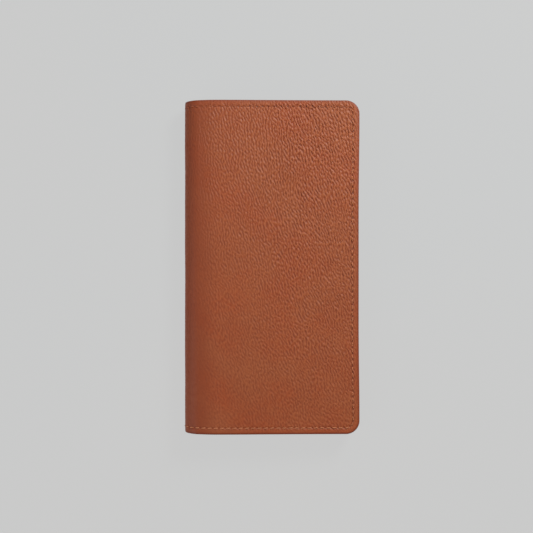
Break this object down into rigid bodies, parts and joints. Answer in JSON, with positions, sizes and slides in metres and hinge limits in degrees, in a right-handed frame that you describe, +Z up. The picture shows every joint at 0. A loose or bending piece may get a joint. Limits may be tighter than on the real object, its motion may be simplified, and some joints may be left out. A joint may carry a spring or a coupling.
{
  "type": "long wallet",
  "caption": "Long bifold leather wallet with a stitched pebbled cover, a rounded soft fold, card and note pockets and a zipped coin pocket; it opens flat like a book.",
  "frame": {"origin": "middle of the closed wallet's footprint, on the surface that its back cover lies on", "axes": "+X from the fold to the open side, +Y along the long side, +Z up through the thickness from the back cover to the front cover"},
  "size_m": [0.0972, 0.187, 0.017],
  "materials": {
    "cover_leather": "pebbled, semi-matt tan",
    "lining_leather": "smooth matt tan",
    "pocket_leather": "fine grain, semi-matt tan",
    "board": "matt grey board, sealed inside",
    "thread": "waxed tan thread",
    "zip_tape": "woven brown tape",
    "zip_metal": "polished brass"
  },
  "bodies": {
    "back_half": {"back_outer_leather": "cover_leather", "back_board": "board", "back_lining": "lining_leather", "back_note_gusset": "pocket_leather", "back_note_panel": "pocket_leather", "back_card_pocket_1": "pocket_leather", "back_card_pocket_2": "pocket_leather", "back_card_pocket_3": "pocket_leather", "back_card_pocket_4": "pocket_leather", "coin_pocket_back": "pocket_leather", "coin_pocket_gusset": "pocket_leather", "coin_pocket_front": "pocket_leather", "coin_pocket_thread": "thread", "zip_tape_upper": "zip_tape", "zip_tape_lower": "zip_tape", "zip_teeth_upper": "zip_metal", "zip_teeth_lower": "zip_metal", "zip_end_stops": "zip_metal", "back_seam_thread": "thread", "back_inner_thread": "thread"},
    "zip_slider": {"zip_slider": "zip_metal"},
    "zip_puller": {"zip_puller": "zip_metal"},
    "fold_strip": {"fold_outer_leather": "cover_leather", "fold_lining": "lining_leather", "fold_seam_thread": "thread"},
    "front_half": {"front_outer_leather": "cover_leather", "front_board": "board", "front_lining": "lining_leather", "front_note_gusset": "pocket_leather", "front_note_panel": "pocket_leather", "front_card_pocket_1": "pocket_leather", "front_card_pocket_2": "pocket_leather", "front_card_pocket_3": "pocket_leather", "front_card_pocket_4": "pocket_leather", "front_card_pocket_5": "pocket_leather", "front_card_pocket_6": "pocket_leather", "front_card_pocket_7": "pocket_leather", "front_card_pocket_8": "pocket_leather", "front_seam_thread": "thread", "front_inner_thread": "thread"}
  },
  "joints": [
    {"name": "back_fold", "type": "hinge", "parent": "back_half", "child": "fold_strip", "pos_m": [-0.04673, 0, 0.00185], "axis": [0, -1, 0], "range_deg": [0, 90.7]},
    {"name": "front_fold", "type": "hinge", "parent": "fold_strip", "child": "front_half", "pos_m": [-0.04656, 0, 0.01531], "axis": [0, -1, 0], "range_deg": [0, 90.7]},
    {"name": "zip_slide", "type": "slide", "parent": "back_half", "child": "zip_slider", "axis": [-1, 0, 0], "range_m": [0, 0.064]},
    {"name": "puller_swing", "type": "hinge", "parent": "zip_slider", "child": "zip_puller", "pos_m": [0.0362, -0.017, 0.00885], "axis": [0, 1, 0], "range_deg": [0, 9]}
  ],
  "couplings": [
    {"joint": "front_fold", "follows": "back_fold", "ratio": 1}
  ]
}
